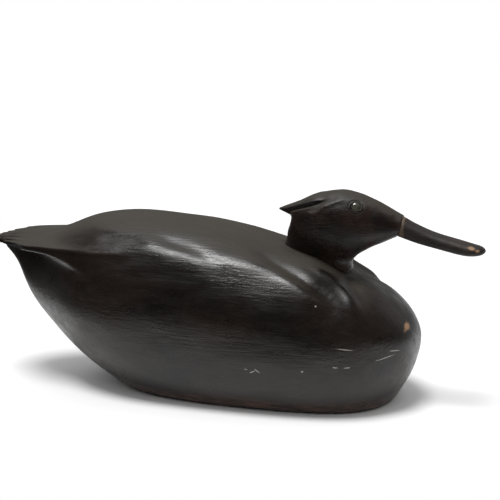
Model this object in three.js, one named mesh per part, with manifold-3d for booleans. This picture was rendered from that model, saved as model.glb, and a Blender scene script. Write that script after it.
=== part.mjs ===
// Carved wooden duck decoy of the merganser kind, resting on its flat underside.
// Millimetres. +X points along the bill, +Y to the bird's left, +Z up, and the origin lies on the
// underside, below the middle of the length. Five pieces: the body with its tail, the head with
// its neck and crest, the bill, and two glass eyes. The bird is the same left and right of y = 0.

import * as THREE from 'three';
import { mergeVertices } from 'three/addons/utils/BufferGeometryUtils.js';
import Module from 'manifold-3d';

const wasm = await Module();
wasm.setup();

// Driving sizes
const HALF_LENGTH = 224;          // tail tip and bill tip lie this far from the middle
const JOINT_GAP = 0.3;            // air between pieces that are glued together

// Body, seen from the side: (x, z) along the back from the tail root to the breast
const NOSE = [170.4, 56];
const BACK_LINE = [
  [-220, 119], [-212, 122], [-192, 125.5], [-171, 129.5], [-154, 137.5], [-140, 145], [-120, 151.4],
  [-91, 154.4], [-58, 153.8], [-20, 150.3], [16, 144], [50, 135.5], [76, 129.5], [92, 122.5],
  [106, 114], [125, 104.5], [143, 93], [157, 81], [166.5, 68], NOSE,
];
// and below, where the hull would run on under the flat cut of the underside
const BELLY_LINE = [
  NOSE, [168.7, 42], [164, 27], [156, 11.5], [145, -5], [129, -19], [95, -29], [50, -30], [0, -28],
  [-45, -21], [-80, -10], [-102, 1.2], [-122.5, 12.6], [-143.5, 26.5], [-165, 44.2], [-184, 63],
  [-193, 77.5], [-198, 91], [-202, 100], [-208, 108.5], [-214, 114], [-220, 119],
];
// Body, seen from above: (x, half width), run round the breast so that its end is blunt
const PLAN_LINE = [
  [-220, 0], [-210, 9], [-192, 19], [-168, 33], [-145, 50], [-110, 69], [-70, 79.5], [-20, 84],
  [40, 85], [90, 81], [125, 70], [150, 50], [164, 30], [170.4, 0], [164, -30], [150, -50],
];
// Height of the widest line of the body: (x, z)
const WAIST_LINE = [
  [-220, 118], [-196, 111], [-180, 103], [-155, 93], [-125, 82], [-90, 73], [-45, 66], [0, 63],
  [60, 61], [120, 59], [171, 57],
];
const SIDE_FULLNESS = 2.35;       // 2 is an ellipse, more is squarer
const BELLY_FULLNESS = 2.1;
const CHINE_SOFTNESS = 5;         // rounding between the flank and the flat underside

// Tail: a thin fan that grows out of the back and overhangs the stern
const TAIL_CURVE = 0.0185;        // the trailing edge is x = -HALF_LENGTH + TAIL_CURVE * y * y
const TAIL_CROWN = 0.0007;        // fall of the fan away from its middle line, times y * y
const TAIL_HEIGHT = [[-224, 124.8], [-205, 126.8], [-180, 127], [-150, 126], [-110, 123.5], [-60, 118]];
const TAIL_THICKNESS = [[-224, 2.6], [-210, 4.5], [-190, 8], [-165, 12], [-140, 18], [-60, 20]];
const TAIL_HALF_WIDTH = [[-224, 42], [-200, 45], [-185, 46.5], [-165, 49], [-145, 54], [-120, 58],
  [-95, 57], [-60, 50]];
const TAIL_SOFTNESS = 13;         // fillet between the fan and the stern
const RIM_FADES = -125;           // the fan's edge runs forward to here as a shoulder line,
const RIM_ENDS = -40;             // and the side line has left it here
const FEATHERS = 9;
const FEATHER_DEPTH = 1.1;
const FEATHER_NOTCH = 2.2;        // the trailing edge steps in this far between two feathers
const FEATHER_ROOT = -178;        // the flutes fade out forward of here

// Carving on the back, as curves on the right and left flank: (x, y, z), with depth and width.
// A negative depth stands proud.
const CARVINGS = [
  { depth: 3.2, width: 8, path: [[14, 42, 138], [32, 40, 134], [47, 42, 130], [65, 47, 122],
    [85, 53, 112], [101, 59, 101], [113, 64, 90]] },
  { depth: 2.8, width: 7.5, path: [[104, 14, 114], [111, 19, 110], [117, 27, 106], [125, 37, 99],
    [130, 48, 91]] },
  { depth: -3, width: 11, path: [[60, 27, 130], [80, 34, 121], [95, 41, 113], [106, 47, 106],
    [118, 55, 94]] },
  { depth: 1.6, width: 8, path: [[-52, 43, 144], [-30, 50, 139], [-8, 54, 134], [8, 51, 134]] },
  { depth: -1.6, width: 12, path: [[-70, 56, 136], [-38, 60, 132], [-5, 62, 128], [33, 61, 122],
    [68, 64, 111], [97, 68, 96]] },
];

// Head, seen from the side: (x, z)
const CROWN_LINE = [[50, 160], [61.5, 171], [79, 180.5], [88, 183.3], [101, 184.6], [110, 183.4],
  [123, 179.4], [136.5, 173.4], [145, 169], [153, 164.6], [167, 157.5], [184, 150]];
const JAW_LINE = [[50, 150], [70, 137], [95, 131], [108, 131], [115.5, 133], [124, 135.8],
  [137, 141.2], [144, 144.7], [149, 146.9], [156, 149], [184, 154]];
// Head and crest, seen from above: (x, half width)
const HEAD_HALF_WIDTH = [[46, 0], [52, 11], [62, 18], [78, 22.5], [95, 23.5], [112, 21.5],
  [130, 16], [145, 12], [153, 10.8], [167, 10.5], [184, 10.5]];
const HEAD_BACK = 57;
const CREST_TOP = [[43, 165.8], [50, 168.8], [61.5, 173.6], [79, 181], [95, 184]];
const CREST_UNDER = [[43, 164.8], [50, 162.4], [57, 160], [70, 160], [95, 165]];
const CREST_HALF_WIDTH = [[43, 1.8], [50, 7], [60, 13], [75, 17.5], [95, 18]];
const CREST_TIP = 43.4;
const CREST_END = 84;
const CREST_GROOVE = { depth: 2.2, width: 2.2, path: [[54, 11, 166], [62, 14, 170], [71, 17, 172.2],
  [80, 17.8, 175.4], [89, 15, 178.6]] };
// Neck: its back and front edge and half width against the height z
const NECK_BACK = [[95, 48], [125, 49.2], [139, 50.8], [150, 55], [158, 61], [168, 67], [185, 78]];
const NECK_FRONT = [[95, 111], [118, 109], [126, 109.5], [134, 113], [145, 112], [160, 110], [185, 105]];
const NECK_HALF_WIDTH = [[95, 18], [125, 17.5], [140, 18], [155, 20], [185, 18]];
const NECK_TOP = 168;
const SEAT_HEIGHT = 135;          // the neck's seat on the back, at the rear of the neck
const SEAT_SLOPE = 0.37;          // it falls by this toward the breast
const NECK_FLARE = 1.6;           // the neck spreads this much where it meets the back

// The bill butts against the head on a surface curved like a bow in the side view
const JOINT_X = 152.6;
const JOINT_Z = 162;
const JOINT_BOW = 0.02;
// Bill: (x, z) of its ridge and underside, and (x, half width)
const BILL_SIDE = [[138, 171], [152.6, 163.8], [160, 160], [170, 155.5], [184, 150.6], [202, 146.2],
  [214, 143.2], [221, 141.4], [224, 138.2], [221, 135.2], [211, 133.8], [202, 134.6], [184, 138.2],
  [165, 142.4], [150, 147], [138, 150.5]];
const BILL_PLAN = [[138, 11.6], [152.6, 10.6], [170, 10.3], [190, 10.8], [205, 11.4], [213, 10.8], [219, 8.4],
  [222.6, 5], [224, 0], [222.6, -5]];
const BILL_FULLNESS = 2.6;

// Glass eyes
const EYE_PLACE = [114.4, 16.5, 173.7];
const EYE_RADIUS = 4.1;
const EYE_DOME = 1.7;             // the eye stands this proud of the socket's rim
const EYE_SEAT = 3;               // and reaches this deep below it

// How finely the surfaces are faceted
const TAIL_STATIONS = 15;
const BACK_STATIONS = 15;
const SHOULDER_STATIONS = 15;
const BREAST_STATIONS = 8;
const RUMP_X = -148;              // the stations change their spacing here,
const SHOULDER_X = 45;            // here
const BREAST_X = 130;             // and here
const BODY_TOP_STEPS = 18;
const BODY_UNDER_STEPS = 9;
const TURN_LENGTH = 14;           // a turn of one radian counts as this much length when points are spread
const HEAD_LEVELS = [[104, 5], [126, 13], [148, 9], [171, 8]];   // from this height up, so many slices
const HEAD_STEPS = 17;
const BILL_RINGS = 16;
const BILL_SIDES = 24;

// A function z(x) read off a smooth curve through points with rising x
function curveThrough(points, samples = 400) {
  const curve = new THREE.CatmullRomCurve3(points.map(([x, z]) => new THREE.Vector3(x, 0, z)), false, 'centripetal');
  const run = curve.getPoints(samples);
  return lookUp(run.map((p) => [p.x, p.z]));
}

function lookUp(run) {
  return (x) => {
    let low = 0;
    let high = run.length - 1;
    if (x <= run[low][0]) return run[low][1];
    if (x >= run[high][0]) return run[high][1];
    while (high - low > 1) {
      const middle = (low + high) >> 1;
      if (run[middle][0] > x) high = middle;
      else low = middle;
    }
    const part = (x - run[low][0]) / (run[high][0] - run[low][0] || 1);
    return run[low][1] + part * (run[high][1] - run[low][1]);
  };
}

// The part of an outline up to its foremost point, as a function of x
function sideOfOutline(points, samples = 2400) {
  const curve = new THREE.CatmullRomCurve3(points.map(([x, z]) => new THREE.Vector3(x, 0, z)), false, 'centripetal');
  const run = curve.getPoints(samples).map((p) => [p.x, p.z]);
  const front = run.reduce((best, p, i) => (p[0] > run[best][0] ? i : best), 0);
  return { front: run[front], before: run.slice(0, front + 1), after: run.slice(front).reverse() };
}

const clamp = THREE.MathUtils.clamp;
const smoothStep = (from, to, x) => THREE.MathUtils.smoothstep(x, from, to);
const blend = THREE.MathUtils.lerp;

// Lowest and highest of two distances with a rounded change-over
function softMin(a, b, softness) {
  const part = clamp(0.5 + 0.5 * (b - a) / softness, 0, 1);
  return blend(b, a, part) - softness * part * (1 - part);
}
const softMax = (a, b, softness) => -softMin(-a, -b, softness);

// About how far a point of a cross-section lies outside a rounded form with a widest line
function sectionDistance(across, up, halfWidth, middle, high, low, fullnessAbove, fullnessBelow) {
  const half = Math.max(halfWidth, 0.05);
  const above = up > middle;
  const height = Math.max(above ? high - middle : middle - low, 0.05);
  const fullness = above ? fullnessAbove : fullnessBelow;
  const sum = Math.abs(across / half) ** fullness + Math.abs((up - middle) / height) ** fullness;
  return (sum ** (1 / fullness) - 1) * Math.min(half, height);
}

const bodySide = sideOfOutline([...BACK_LINE, ...BELLY_LINE.slice(1)]);
const backHeight = lookUp(bodySide.before);
const bellyHeight = lookUp(bodySide.after);
const bodyHalfWidth = lookUp(sideOfOutline(PLAN_LINE).before.map(([x, y]) => [x, Math.max(y, 0)]));
const waistHeight = curveThrough(WAIST_LINE);
const breastX = bodySide.front[0];
const tailHeight = curveThrough(TAIL_HEIGHT);
const tailThickness = curveThrough(TAIL_THICKNESS);
const tailHalfWidth = curveThrough(TAIL_HALF_WIDTH);

function tailDistance(x, y, z) {
  const width = tailHalfWidth(x);
  const edge = Math.min(Math.abs(y) / width, 1.2);
  const halfThickness = tailThickness(x) / 2 * (1 - 0.45 * edge * edge);
  const offPlane = Math.abs(z - tailHeight(x) + TAIL_CROWN * y * y) - halfThickness;
  return softMax(offPlane, Math.abs(y) - width, 3);
}

function bodyDistance(x, y, z) {
  let distance = sectionDistance(y, z, bodyHalfWidth(x), waistHeight(x), backHeight(x), bellyHeight(x),
    SIDE_FULLNESS, BELLY_FULLNESS);
  if (x < -60) {
    const softness = clamp(0.6 * (x + HALF_LENGTH), 1, TAIL_SOFTNESS);
    distance = softMin(distance, tailDistance(x, y, z), softness);
  }
  return softMax(distance, -z, CHINE_SOFTNESS);
}

function outwardNormal(distance, point) {
  const step = 0.2;
  const slope = (dx, dy, dz) => distance(point.x + dx, point.y + dy, point.z + dz)
    - distance(point.x - dx, point.y - dy, point.z - dz);
  return new THREE.Vector3(slope(step, 0, 0), slope(0, step, 0), slope(0, 0, step)).normalize();
}

function carvingDepth(carving, point) {
  const nearest = carving.run.reduce((least, p) =>
    Math.min(least, Math.hypot(point.x - p.x, Math.abs(point.y) - p.y, point.z - p.z)), Infinity);
  return carving.depth * Math.exp(-((nearest / carving.width) ** 2));
}

function withRun(carving) {
  const corners = carving.path.map((p) => new THREE.Vector3(...p));
  return { ...carving, run: new THREE.CatmullRomCurve3(corners).getPoints(60) };
}

const bodyCarvings = CARVINGS.map(withRun);

// How far the back is cut in at a point, nothing below the neck, so that the neck sits well
function backCarving(point) {
  const fromNeck = Math.hypot((point.x - 79) / 32, point.y / 20);
  const clear = smoothStep(1, 1.35, fromNeck);
  return clear * bodyCarvings.reduce((sum, carving) => sum + carvingDepth(carving, point), 0);
}

// 0 on the middle of a tail feather, 1 between two feathers
const betweenFeathers = (x, y) => 0.5 - 0.5 * Math.cos(FEATHERS * Math.PI * clamp(y / tailHalfWidth(x), -1, 1));

// Stations run across the body, and bend to follow the tail's trailing edge
function stationX(station, y) {
  const bend = TAIL_CURVE * (1 - smoothStep(-HALF_LENGTH, -130, station));
  return station + bend * y * y;
}

// Follows a line out from the inside of a form until it leaves the form
function castOut(pointAt, distanceAt) {
  let inside = 0;
  let outside = 1.9;
  for (let i = 0; i < 26; i++) {
    const middle = (inside + outside) / 2;
    if (distanceAt(pointAt(middle)) < 0) inside = middle;
    else outside = middle;
  }
  return pointAt((inside + outside) / 2);
}

// Points spread along a run of dense points, both ends kept, and closer together where it turns
function spread(run, steps) {
  const length = [0];
  for (let i = 1; i < run.length; i++) {
    const step = run[i].clone().sub(run[i - 1]);
    const next = i + 1 < run.length ? run[i + 1].clone().sub(run[i]) : step;
    const turn = step.lengthSq() * next.lengthSq() > 1e-12 ? step.angleTo(next) : 0;
    length.push(length[i - 1] + step.length() + TURN_LENGTH * turn);
  }
  const points = [];
  let at = 0;
  for (let i = 0; i <= steps; i++) {
    const target = length[length.length - 1] * i / steps;
    while (at < run.length - 2 && length[at + 1] < target) at++;
    const part = (target - length[at]) / (length[at + 1] - length[at] || 1);
    points.push(run[at].clone().lerp(run[at + 1], clamp(part, 0, 1)));
  }
  return points;
}

// The same points on the other side, without the two that lie on the middle line
const mirrored = (points) => points.slice(1, -1).reverse().map((p) => new THREE.Vector3(p.x, -p.y, p.z));

// One ring of the body: over the back to the side line, then under to the middle of the belly
function bodyRing(station, grow) {
  const atTail = 1 - smoothStep(-182, -115, station);
  const back = backHeight(Math.max(station, -214));
  const belly = Math.max(bellyHeight(Math.max(station, -214)), 0);
  const centre = blend(0.55 * back + 0.45 * belly, tailHeight(station), atTail);
  const wide = Math.max(bodyHalfWidth(station), station < -60 ? tailHalfWidth(station) : 0) + 2;
  const tall = Math.max(0.6, atTail) * (back - belly) + 6;
  const dense = [];
  for (let i = 0; i <= 260; i++) {
    const angle = Math.PI / 2 - Math.PI * i / 260;
    const pointAt = (reach) => {
      const y = reach * wide * Math.cos(angle);
      return new THREE.Vector3(stationX(station, y), y, centre + reach * tall * Math.sin(angle));
    };
    dense.push(castOut(pointAt, (p) => bodyDistance(p.x, p.y, p.z) - grow));
  }
  const rimX = stationX(station, tailHalfWidth(station));
  const rim = tailHeight(rimX) - TAIL_CROWN * tailHalfWidth(rimX) ** 2;
  const sideHeight = blend(rim, waistHeight(station), smoothStep(RIM_FADES, RIM_ENDS, station));
  const side = dense.findIndex((p, i) => i > 3 && p.z < sideHeight);
  const top = spread(dense.slice(0, side + 1), BODY_TOP_STEPS);
  const under = spread(dense.slice(side), BODY_UNDER_STEPS);
  const half = [...top, ...under.slice(1)];
  return ringFromHalf(half.map((p, i) => carved(p, i <= BODY_TOP_STEPS)));
}

function ringFromHalf(half) {
  half[0].y = 0;
  half[half.length - 1].y = 0;
  return [...half, ...mirrored(half)];
}

function carved(point, onTop) {
  const fan = 1 - smoothStep(-205, FEATHER_ROOT, point.x);
  const gap = betweenFeathers(point.x, point.y);
  const result = point.clone();
  if (point.z > 60) result.addScaledVector(outwardNormal(bodyDistance, point), -backCarving(point));
  if (onTop) result.z -= FEATHER_DEPTH * gap * fan;
  result.x += FEATHER_NOTCH * gap * (1 - smoothStep(0, 10, trailingEdgeGap(point)));
  return result;
}

const carvedDistance = (p) => bodyDistance(p.x, p.y, p.z) + backCarving(p);
const trailingEdgeGap = (p) => p.x - stationX(-HALF_LENGTH, p.y);

// Evenly spaced places from one x up to another, which is left out
const places = (from, to, count) => Array.from({ length: count }, (_, i) => blend(from, to, i / count));

// Stations lie closer together at the tail, where the flanks are carved and round the breast
function bodyStations() {
  const round = places(0, 1, BREAST_STATIONS + 1).slice(1);
  return [
    ...places(-HALF_LENGTH, RUMP_X, TAIL_STATIONS),
    ...places(RUMP_X, SHOULDER_X, BACK_STATIONS),
    ...places(SHOULDER_X, BREAST_X, SHOULDER_STATIONS + 1),
    ...round.map((part) => blend(BREAST_X, breastX, Math.sin(part * Math.PI / 2))),
  ];
}

// Skin over equal rings. Each four-sided patch is split along the diagonal nearer to the form.
function skin(rings, firstCap, lastCap, distanceAt = () => 0) {
  const around = rings[0].length;
  const positions = rings.flat().flatMap((p) => [p.x, p.y, p.z]);
  const faces = [];
  for (let i = 0; i + 1 < rings.length; i++) {
    for (let j = 0; j < around; j++) {
      const a = i * around + j;
      const b = i * around + (j + 1) % around;
      const [p, q] = [rings[i][j], rings[i][(j + 1) % around]];
      const [r, s] = [rings[i + 1][j], rings[i + 1][(j + 1) % around]];
      const offForm = (from, to) => Math.abs(distanceAt(from.clone().lerp(to, 0.5)));
      if (offForm(p, s) <= offForm(q, r)) faces.push(a, b, b + around, a, b + around, a + around);
      else faces.push(a, b, a + around, b, b + around, a + around);
    }
  }
  const last = (rings.length - 1) * around;
  firstCap(faces, positions, 0, around, false);
  lastCap(faces, positions, last, around, true);
  const geometry = new THREE.BufferGeometry();
  geometry.setAttribute('position', new THREE.Float32BufferAttribute(positions, 3));
  geometry.setIndex(faces);
  return outwardFacing(geometry);
}

function fanCap(tip) {
  return (faces, positions, start, around, forward) => {
    const pole = positions.length / 3;
    positions.push(tip.x, tip.y, tip.z);
    for (let j = 0; j < around; j++) {
      const a = start + j;
      const b = start + (j + 1) % around;
      if (forward) faces.push(a, b, pole);
      else faces.push(b, a, pole);
    }
  };
}

// Closes the tail's trailing edge: two steps of the upper edge to each step of the lower
function tailCap(faces, positions, start, around) {
  const half = BODY_TOP_STEPS + BODY_UNDER_STEPS;
  for (const side of [1, -1]) {
    const at = (index) => start + ((side * index) % around + around) % around;
    const put = (a, b, c) => (side > 0 ? faces.push(a, c, b) : faces.push(a, b, c));
    for (let i = 0; i < BODY_UNDER_STEPS; i++) {
      const upper = [at(2 * i), at(2 * i + 1), at(2 * i + 2)];
      const lower = [at(half - i), at(half - i - 1)];
      put(upper[0], upper[1], lower[0]);
      if (i < BODY_UNDER_STEPS - 1) {
        put(upper[1], lower[1], lower[0]);
        put(upper[1], upper[2], lower[1]);
      } else {
        put(upper[1], lower[1], lower[0]);
      }
    }
  }
}

function outwardFacing(geometry) {
  const p = geometry.attributes.position;
  const index = geometry.index.array;
  let volume = 0;
  for (let i = 0; i < index.length; i += 3) {
    const [a, b, c] = [0, 1, 2].map((k) => new THREE.Vector3().fromBufferAttribute(p, index[i + k]));
    volume += a.dot(b.cross(c)) / 6;
  }
  if (volume < 0) {
    for (let i = 0; i < index.length; i += 3) [index[i], index[i + 1]] = [index[i + 1], index[i]];
  }
  return geometry;
}

function bodyGeometry(grow) {
  const rings = bodyStations().map((station) => bodyRing(station, grow));
  const nose = new THREE.Vector3(breastX + grow, 0, bodySide.front[1]);
  return skin(rings, tailCap, fanCap(nose), (p) => carvedDistance(p) - grow);
}

const crownHeight = curveThrough(CROWN_LINE);
const jawHeight = curveThrough(JAW_LINE);
const headHalfWidth = curveThrough(HEAD_HALF_WIDTH);
const crestTop = curveThrough(CREST_TOP);
const crestUnder = curveThrough(CREST_UNDER);
const crestHalfWidth = curveThrough(CREST_HALF_WIDTH);
const neckBack = curveThrough(NECK_BACK);
const neckFront = curveThrough(NECK_FRONT);
const neckHalfWidth = curveThrough(NECK_HALF_WIDTH);

function neckDistance(x, y, z) {
  const aboveSeat = Math.max(z - SEAT_HEIGHT + SEAT_SLOPE * (x - 50), 0);
  const flare = NECK_FLARE * Math.exp(-aboveSeat / 4);
  const half = neckHalfWidth(z) + flare;
  const middle = (neckBack(z) + neckFront(z)) / 2;
  const length = (neckFront(z) - neckBack(z)) / 2 + flare;
  const distance = sectionDistance(x - middle, y, length, 0, half, -half, 2.2, 2.2);
  return softMax(distance, z - NECK_TOP, 12);
}

function crestDistance(x, y, z) {
  const distance = sectionDistance(y, z, crestHalfWidth(x), (crestTop(x) + crestUnder(x)) / 2,
    crestTop(x), crestUnder(x), 2.4, 2.4);
  return softMax(Math.max(distance, CREST_TIP - x), x - CREST_END, 8);
}

function headDistance(x, y, z) {
  const high = crownHeight(x);
  const low = jawHeight(x);
  let distance = sectionDistance(y, z, headHalfWidth(x), blend(low, high, 0.45), high, low, 2.3, 2.3);
  distance = softMax(distance, HEAD_BACK - x, 4);
  distance = softMin(distance, neckDistance(x, y, z), 11);
  return softMin(distance, crestDistance(x, y, z), 3);
}

const headFrontX = 158;
const headTop = 184.6;
const crestGroove = withRun(CREST_GROOVE);

// One level slice of the head, from its back round the left side to its front
function headRing(z) {
  const middle = blend(80, 101, smoothStep(140, 172, z));
  const dense = [];
  for (let i = 0; i <= 240; i++) {
    const angle = Math.PI - Math.PI * i / 240;
    const pointAt = (reach) => new THREE.Vector3(middle + reach * 60 * Math.cos(angle),
      reach * 30 * Math.sin(angle), z);
    dense.push(castOut(pointAt, (p) => Math.max(headDistance(p.x, p.y, p.z), p.x - headFrontX)));
  }
  const half = spread(dense, HEAD_STEPS).map((p) => {
    const depth = carvingDepth(crestGroove, p);
    return p.addScaledVector(outwardNormal(headDistance, p), -depth);
  });
  return ringFromHalf(half);
}

function headBlank() {
  const levels = HEAD_LEVELS.flatMap(([from, count], i) => {
    if (i + 1 < HEAD_LEVELS.length) return places(from, HEAD_LEVELS[i + 1][0], count);
    return places(0, 1, count).map((part) => blend(from, headTop, Math.sin(part * Math.PI / 2)));
  });
  const base = new THREE.Vector3(80, 0, HEAD_LEVELS[0][0]);
  const peak = new THREE.Vector3(101, 0, headTop);
  return skin(levels.map(headRing), fanCap(base), fanCap(peak), (p) => headDistance(p.x, p.y, p.z));
}

// Everything forward of the joint between head and bill, as a block with a bowed back
function frontBlock(gap) {
  const shape = new THREE.Shape();
  const steps = 10;
  shape.moveTo(HALF_LENGTH + 10, 190);
  for (let i = 0; i <= steps; i++) {
    const z = 190 - 60 * i / steps;
    const bow = Math.min((z - JOINT_Z) ** 2, 400);
    shape.lineTo(JOINT_X - JOINT_BOW * bow + gap, z);
  }
  shape.lineTo(HALF_LENGTH + 10, 130);
  const block = new THREE.ExtrudeGeometry(shape, { depth: 80, bevelEnabled: false });
  block.rotateX(Math.PI / 2);
  block.translate(0, 40, 0);
  return block;
}

const billSide = sideOfOutline(BILL_SIDE);
const billRidge = lookUp(billSide.before);
const billUnder = lookUp(billSide.after);
const billHalfWidth = lookUp(sideOfOutline(BILL_PLAN).before.map(([x, y]) => [x, Math.max(y, 0)]));

function billBlank() {
  const start = BILL_SIDE[0][0];
  const rings = [];
  for (let i = 0; i < BILL_RINGS; i++) {
    const x = blend(start, HALF_LENGTH, Math.sin(Math.PI / 2 * i / (BILL_RINGS - 0.6)));
    const low = billUnder(x);
    const high = billRidge(x);
    const middle = blend(low, high, 0.45);
    const ring = [];
    for (let j = 0; j < BILL_SIDES; j++) {
      const angle = Math.PI / 2 - 2 * Math.PI * j / BILL_SIDES;
      const round = (value) => Math.sign(value) * Math.abs(value) ** (2 / BILL_FULLNESS);
      const rise = round(Math.sin(angle));
      const y = billHalfWidth(x) * round(Math.cos(angle));
      ring.push(new THREE.Vector3(x, y, middle + rise * (rise > 0 ? high - middle : middle - low)));
    }
    rings.push(ring);
  }
  const tip = new THREE.Vector3(HALF_LENGTH, 0, billSide.front[1]);
  return skin(rings, fanCap(new THREE.Vector3(start, 0, JOINT_Z)), fanCap(tip));
}

function eyeFrame(side) {
  const [x, y, z] = EYE_PLACE;
  const place = new THREE.Vector3(x, side * y, z);
  const out = outwardNormal(headDistance, place);
  const turn = new THREE.Quaternion().setFromUnitVectors(new THREE.Vector3(0, 1, 0), out);
  return { place, turn };
}

// A dome with a plug behind it, turned about the Y axis before it is placed
function eyeGeometry() {
  const profile = [new THREE.Vector2(0, -EYE_SEAT), new THREE.Vector2(EYE_RADIUS - 0.4, -EYE_SEAT)];
  for (let i = 0; i < 5; i++) {
    const angle = Math.PI / 2 * i / 5;
    profile.push(new THREE.Vector2(EYE_RADIUS * Math.cos(angle), EYE_DOME * Math.sin(angle)));
  }
  profile.push(new THREE.Vector2(0, EYE_DOME));
  return outwardFacing(welded(new THREE.LatheGeometry(profile, 16)));
}

function socketGeometry(side) {
  const { place, turn } = eyeFrame(side);
  const radius = EYE_RADIUS + JOINT_GAP;
  const hole = new THREE.CylinderGeometry(radius, radius, 12, 20);
  hole.translate(0, 6 - EYE_SEAT - JOINT_GAP, 0);
  hole.applyQuaternion(turn);
  hole.translate(place.x, place.y, place.z);
  return hole;
}

function welded(geometry) {
  const bare = geometry.clone();
  bare.deleteAttribute('normal');
  bare.deleteAttribute('uv');
  return mergeVertices(bare, 1e-4);
}

function toSolid(geometry) {
  const bare = welded(geometry);
  const mesh = new wasm.Mesh({
    numProp: 3,
    vertProperties: new Float32Array(bare.attributes.position.array),
    triVerts: new Uint32Array(bare.index.array),
  });
  return new wasm.Manifold(mesh);
}

function toGeometry(solid) {
  const mesh = solid.getMesh();
  const geometry = new THREE.BufferGeometry();
  geometry.setAttribute('position', new THREE.BufferAttribute(mesh.vertProperties, 3));
  geometry.setIndex(new THREE.BufferAttribute(mesh.triVerts, 1));
  return geometry;
}

function headGeometry() {
  return toGeometry(toSolid(headBlank())
    .subtract(toSolid(bodyGeometry(JOINT_GAP)))
    .subtract(toSolid(frontBlock(0)))
    .subtract(toSolid(socketGeometry(1)))
    .subtract(toSolid(socketGeometry(-1))));
}

const billGeometry = () => toGeometry(toSolid(billBlank()).intersect(toSolid(frontBlock(JOINT_GAP))));

function piece(name, geometry, color, roughness) {
  geometry.computeVertexNormals();
  const mesh = new THREE.Mesh(geometry, new THREE.MeshStandardMaterial({ color, roughness, metalness: 0 }));
  mesh.name = name;
  return mesh;
}

function eye(name, side) {
  const mesh = piece(name, eyeGeometry(), 0x4a4a3c, 0.08);
  const { place, turn } = eyeFrame(side);
  mesh.position.copy(place);
  mesh.quaternion.copy(turn);
  return mesh;
}

const duck = new THREE.Group();
duck.add(piece('body', bodyGeometry(0), 0x2a221e, 0.4));
duck.add(piece('head', headGeometry(), 0x261d19, 0.42));
duck.add(piece('bill', billGeometry(), 0x2b201c, 0.45));
duck.add(eye('eye_right', -1));
duck.add(eye('eye_left', 1));

export default duck;
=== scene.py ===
# Looks of the carved duck decoy: fine carved surfaces, worn dark paint and plain soft light.
# Outlines are written in millimetres and MM turns them into Blender's metres. +X runs along the
# bill, +Y to the bird's left, +Z up, and the underside rests on z = 0, as in the frame.

import math

import bpy
import numpy as np
from mathutils import Matrix, Vector


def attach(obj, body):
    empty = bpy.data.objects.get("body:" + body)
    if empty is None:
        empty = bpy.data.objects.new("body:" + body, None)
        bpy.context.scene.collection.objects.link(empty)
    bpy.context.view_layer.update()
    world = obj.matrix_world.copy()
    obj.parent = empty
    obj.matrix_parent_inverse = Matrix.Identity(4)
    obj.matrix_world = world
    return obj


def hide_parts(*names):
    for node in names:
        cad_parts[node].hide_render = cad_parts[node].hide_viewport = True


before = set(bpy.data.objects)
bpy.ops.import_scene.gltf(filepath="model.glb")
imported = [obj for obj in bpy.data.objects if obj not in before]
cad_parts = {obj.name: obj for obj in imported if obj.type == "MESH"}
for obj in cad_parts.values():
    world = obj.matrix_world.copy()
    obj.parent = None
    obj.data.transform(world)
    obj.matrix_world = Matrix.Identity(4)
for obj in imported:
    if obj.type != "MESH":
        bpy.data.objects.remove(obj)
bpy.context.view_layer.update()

MM = 0.001
HALF_LENGTH = 224.0
JOINT_GAP = 0.3

# Body in side view: (x, z) along the back from the tail root to the breast, and back below
NOSE = (170.4, 56)
BACK_LINE = [
    (-220, 119), (-212, 122), (-192, 125.5), (-171, 129.5), (-154, 137.5), (-140, 145), (-120, 151.4),
    (-91, 154.4), (-58, 153.8), (-20, 150.3), (16, 144), (50, 135.5), (76, 129.5), (92, 122.5),
    (106, 114), (125, 104.5), (143, 93), (157, 81), (166.5, 68), NOSE,
]
BELLY_LINE = [
    NOSE, (168.7, 42), (164, 27), (156, 11.5), (145, -5), (129, -19), (95, -29), (50, -30), (0, -28),
    (-45, -21), (-80, -10), (-102, 1.2), (-122.5, 12.6), (-143.5, 26.5), (-165, 44.2), (-184, 63),
    (-193, 77.5), (-198, 91), (-202, 100), (-208, 108.5), (-214, 114), (-220, 119),
]
# Body from above: (x, half width), run round the breast so that its end is blunt
PLAN_LINE = [
    (-220, 0), (-210, 9), (-192, 19), (-168, 33), (-145, 50), (-110, 69), (-70, 79.5), (-20, 84),
    (40, 85), (90, 81), (125, 70), (150, 50), (164, 30), (170.4, 0), (164, -30), (150, -50),
]
# Height of the body's widest line: (x, z)
WAIST_LINE = [
    (-220, 118), (-196, 111), (-180, 103), (-155, 93), (-125, 82), (-90, 73), (-45, 66), (0, 63),
    (60, 61), (120, 59), (171, 57),
]
SIDE_FULLNESS = 2.35
BELLY_FULLNESS = 2.1
CHINE_SOFTNESS = 5.0

# Tail fan
TAIL_CURVE = 0.0185
TAIL_CROWN = 0.0007
TAIL_HEIGHT = [(-224, 124.8), (-205, 126.8), (-180, 127), (-150, 126), (-110, 123.5), (-60, 118)]
TAIL_THICKNESS = [(-224, 2.6), (-210, 4.5), (-190, 8), (-165, 12), (-140, 18), (-60, 20)]
TAIL_HALF_WIDTH = [
    (-224, 42), (-200, 45), (-185, 46.5), (-165, 49), (-145, 54), (-120, 58), (-95, 57), (-60, 50),
]
TAIL_SOFTNESS = 13.0
RIM_FADES = -125.0
RIM_ENDS = -40.0
FEATHERS = 9
FEATHER_SPREAD = [(-224, 27), (-205, 35), (-188, 44), (-160, 58)]
FEATHER_DEPTH = 1.2
FEATHER_NOTCH = 2.4
FEATHER_ROOT = -176.0

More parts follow.
